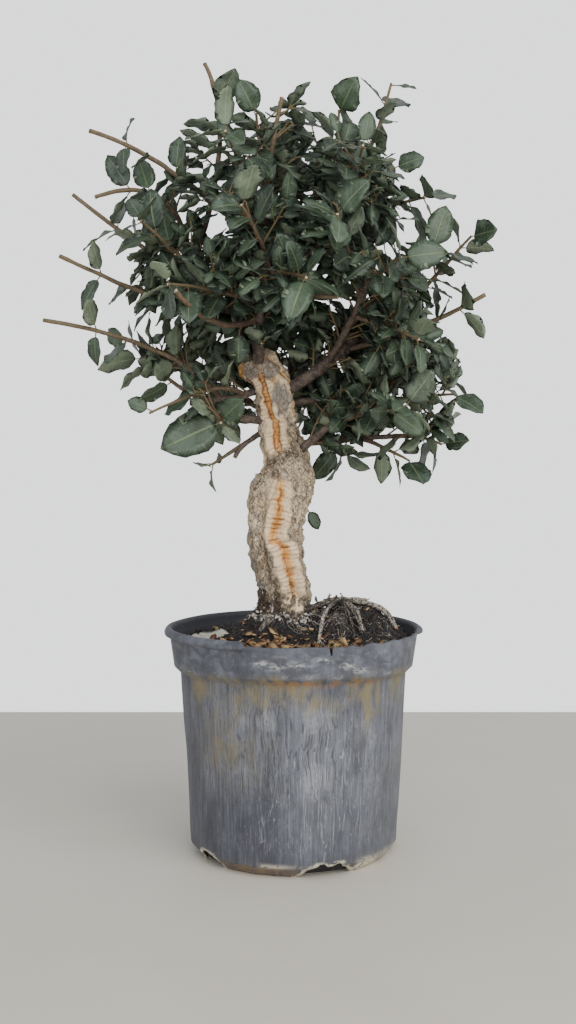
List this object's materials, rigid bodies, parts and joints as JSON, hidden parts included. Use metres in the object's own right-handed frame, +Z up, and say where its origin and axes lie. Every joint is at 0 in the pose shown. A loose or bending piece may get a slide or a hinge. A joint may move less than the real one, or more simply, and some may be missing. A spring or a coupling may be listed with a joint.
{
  "type": "cork oak bonsai in a pot",
  "caption": "Cork oak bonsai with a leaning corky trunk, pruned limbs and a rounded crown of small toothed leaves, in a tapered nursery pot with a stepped collar and a worn foot.",
  "frame": {"origin": "centre of the pot's underside, on the surface that it stands on", "axes": "+Z up along the pot's axis, -Y towards the viewer of the picture, +X to the viewer's right"},
  "size_m": [0.3246, 0.2502, 0.5766],
  "materials": {
    "pot_plastic": "faded, scratched and limescaled dark grey moulded plastic",
    "potting_mix": "damp dark fibrous potting mix",
    "cork_bark": "rough pale cork bark with orange splits",
    "root_bark": "dry grey-brown root bark",
    "leaf": "leathery dark green leaf, half matt"
  },
  "bodies": {
    "root": {"pot": "pot_plastic", "soil": "potting_mix", "trunk": "cork_bark", "root_1": "root_bark", "root_2": "root_bark", "root_3": "root_bark", "root_4": "root_bark", "leafy_branch_01": "leaf", "leafy_branch_02": "leaf", "leafy_branch_03": "leaf", "leafy_branch_04": "leaf", "leafy_branch_05": "leaf", "leafy_branch_06": "leaf", "leafy_branch_07": "leaf", "leafy_branch_08": "leaf", "leafy_branch_09": "leaf", "leafy_branch_10": "leaf", "leafy_branch_11": "leaf", "leafy_branch_12": "leaf", "leafy_branch_13": "leaf", "leafy_branch_14": "leaf", "leafy_branch_15": "leaf", "leafy_branch_16": "leaf", "leafy_branch_17": "leaf", "leafy_branch_18": "leaf", "leafy_branch_19": "leaf", "leafy_branch_20": "leaf", "leafy_branch_21": "leaf", "leafy_branch_22": "leaf", "leafy_branch_23": "leaf", "leafy_branch_24": "leaf", "leafy_branch_25": "leaf", "leafy_branch_26": "leaf", "leafy_branch_27": "leaf", "leafy_branch_28": "leaf", "leafy_branch_29": "leaf", "leafy_branch_30": "leaf", "leafy_branch_31": "leaf", "leafy_branch_32": "leaf", "leafy_branch_33": "leaf", "leafy_branch_34": "leaf", "leafy_branch_35": "leaf", "leafy_branch_36": "leaf", "leafy_branch_37": "leaf", "leafy_branch_38": "leaf", "leafy_branch_39": "leaf", "leafy_branch_40": "leaf", "leafy_branch_41": "leaf", "leafy_branch_42": "leaf", "leafy_branch_43": "leaf", "leafy_branch_44": "leaf", "leafy_branch_45": "leaf", "leafy_branch_46": "leaf", "leafy_branch_47": "leaf", "leafy_branch_48": "leaf", "leafy_branch_49": "leaf"}
  },
  "joints": []
}
